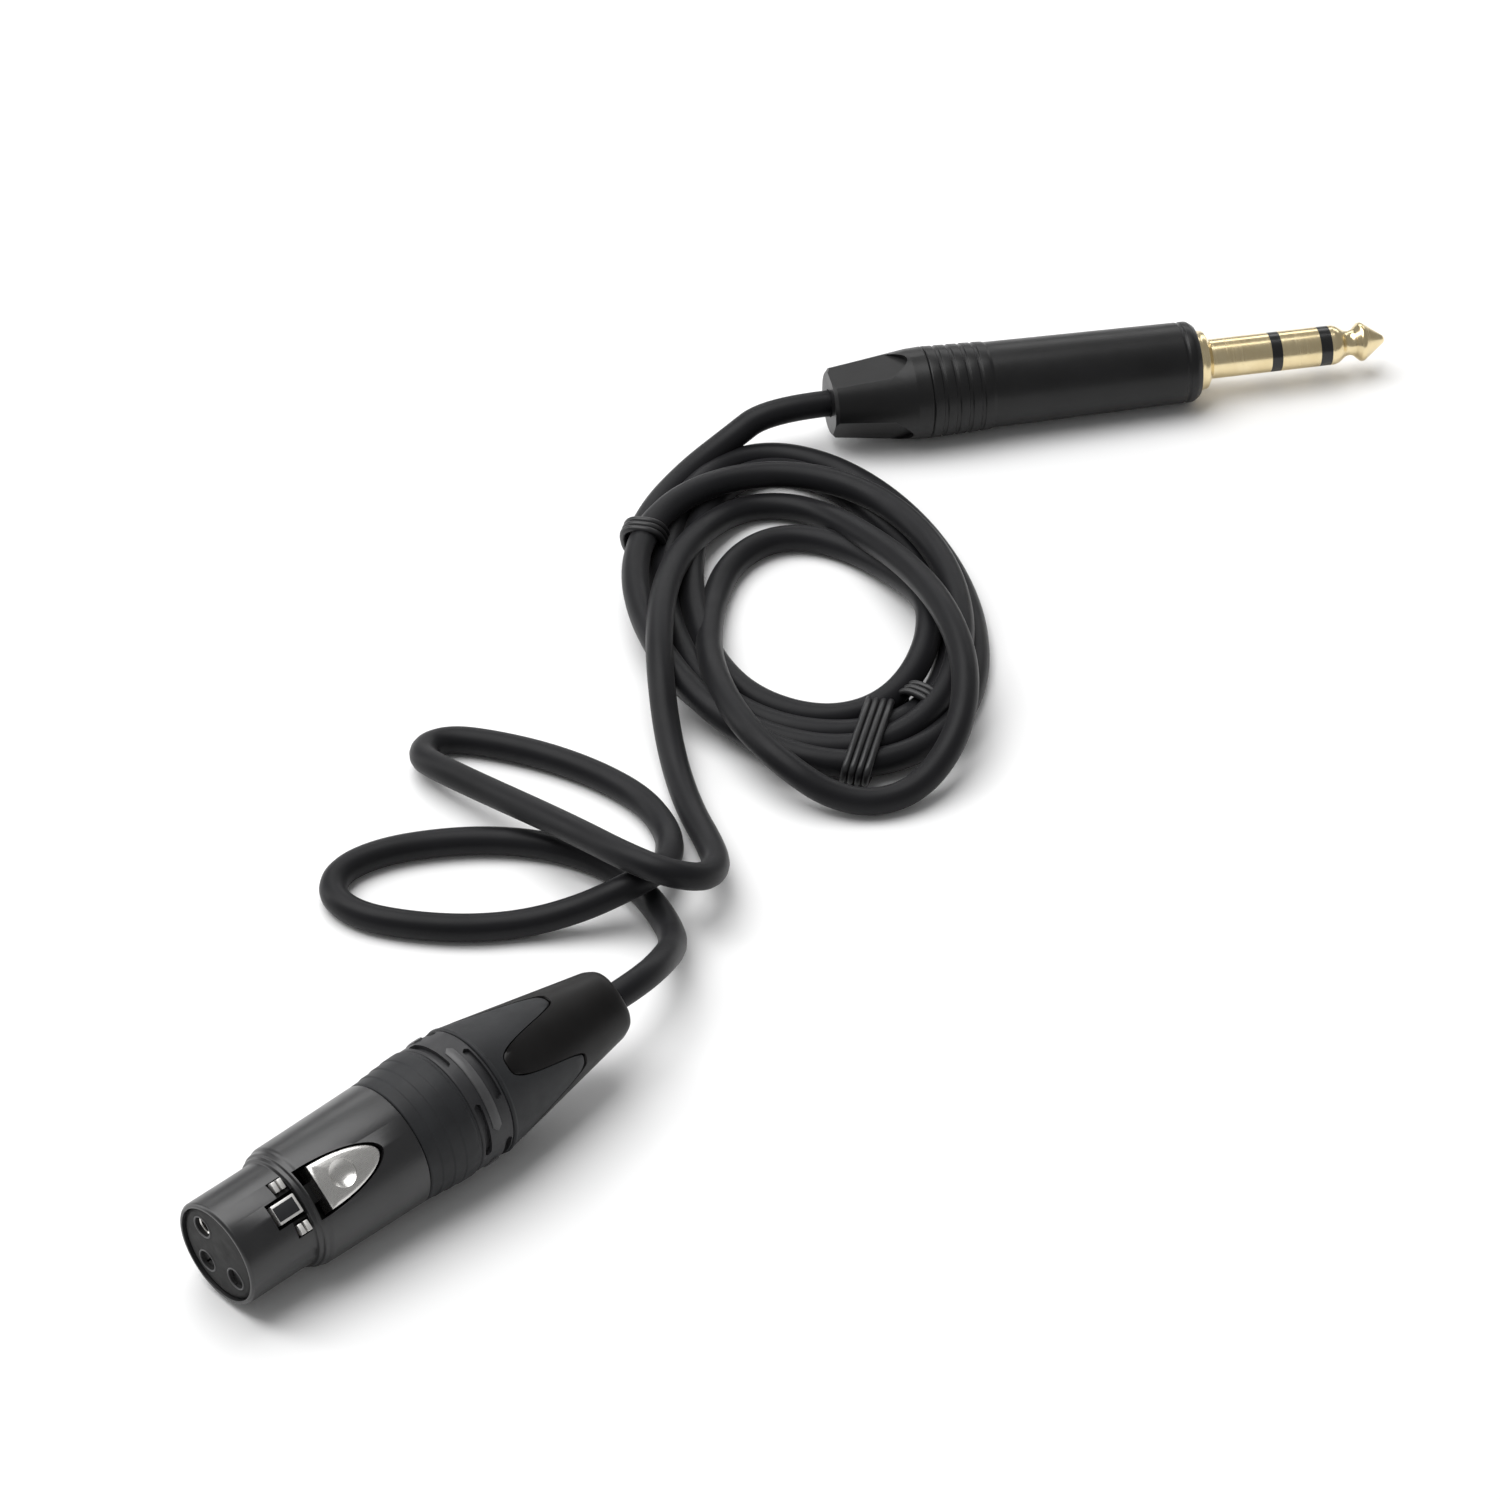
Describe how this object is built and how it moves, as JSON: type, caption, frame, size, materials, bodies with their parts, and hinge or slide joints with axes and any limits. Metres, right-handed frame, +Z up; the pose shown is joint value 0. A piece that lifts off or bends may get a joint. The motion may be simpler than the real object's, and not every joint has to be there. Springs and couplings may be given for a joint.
{
  "type": "xlr cable coil",
  "caption": "Audio cable with a latching three-pole XLR socket and a gold 6.35 mm jack plug, its slack lying in loose loops and a tied oval coil.",
  "frame": {"origin": "on the floor, at the middle of the box round the two connectors", "axes": "+Z up from the floor; +Y from the XLR socket's front towards the jack plug, in the floor; +X to the right, from the XLR socket's side to the jack's tip"},
  "size_m": [0.1794, 0.2206, 0.0203],
  "materials": {
    "black_shell": "satin black on die-cast zinc",
    "black_insert": "matt moulded insert",
    "contact_silver": "silver-plated contacts",
    "nickel": "satin nickel plate",
    "spring_steel": "plain spring strip",
    "black_nut": "fine-grained moulded plastic",
    "soft_sleeve": "smooth soft overmould",
    "coding_ring": "moulded ring",
    "white_nylon": "natural moulded plastic",
    "cable_jacket": "smooth matt jacket",
    "core_insulation": "coloured core insulation",
    "gold": "polished gold plate",
    "insulator": "gloss moulded plastic",
    "tie_cord": "thin soft plastic cord"
  },
  "bodies": {
    "root": {"xlr_shell": "black_shell", "xlr_insert": "black_insert", "xlr_contact_1": "contact_silver", "xlr_contact_2": "contact_silver", "xlr_contact_3": "contact_silver", "xlr_latch_spring": "spring_steel", "xlr_ground_lugs": "nickel", "xlr_cable_end": "cable_jacket", "xlr_cores": "core_insulation", "jack_shell": "black_shell", "jack_liner": "white_nylon", "jack_sleeve_contact": "gold", "jack_long_bush": "insulator", "jack_insulator_1": "insulator", "jack_ring_contact": "gold", "jack_inner_bush": "insulator", "jack_insulator_2": "insulator", "jack_tip_contact": "gold", "jack_lugs": "gold", "jack_cable_end": "cable_jacket", "jack_cores": "core_insulation", "cable_lead": "cable_jacket", "cable_coil": "cable_jacket", "cable_tail": "cable_jacket", "tie_main": "tie_cord", "tie_small": "tie_cord", "tie_left": "tie_cord"},
    "xlr_latch": {"xlr_latch": "nickel"},
    "xlr_clamp": {"xlr_chuck": "white_nylon"},
    "xlr_nut": {"xlr_gland_nut": "black_nut", "xlr_coding_ring": "coding_ring", "xlr_boot_sleeve": "soft_sleeve"},
    "jack_clamp": {"jack_chuck": "white_nylon"},
    "jack_nut": {"jack_boot": "black_nut"}
  },
  "joints": [
    {"name": "xlr_latch_press", "type": "hinge", "parent": "root", "child": "xlr_latch", "pos_m": [-0.06406, -0.09049, 0.0144], "axis": [0.5431, -0.5563, -0.6289], "range_deg": [0, 4], "stiffness_Nm_per_rad": 0.02},
    {"name": "xlr_clamp_slide", "type": "slide", "parent": "root", "child": "xlr_clamp", "axis": [0.7345, 0.6777, 0.0347], "range_m": [0, 0.00375]},
    {"name": "xlr_nut_turn", "type": "hinge", "parent": "xlr_clamp", "child": "xlr_nut", "pos_m": [-0.05512, -0.07694, 0.01012], "axis": [0.7345, 0.6777, 0.0347], "range_deg": [0, 1081]},
    {"name": "jack_clamp_slide", "type": "slide", "parent": "root", "child": "jack_clamp", "axis": [-0.9769, -0.213, 0.0192], "range_m": [0, 0.00375]},
    {"name": "jack_nut_turn", "type": "hinge", "parent": "jack_clamp", "child": "jack_nut", "pos_m": [0.01027, 0.09133, 0.0074], "axis": [-0.9769, -0.213, 0.0192], "range_deg": [0, 1081]}
  ],
  "couplings": [
    {"joint": "xlr_nut_turn", "follows": "xlr_clamp_slide", "rad_per_m": 5026.5},
    {"joint": "jack_nut_turn", "follows": "jack_clamp_slide", "rad_per_m": 5026.5}
  ]
}
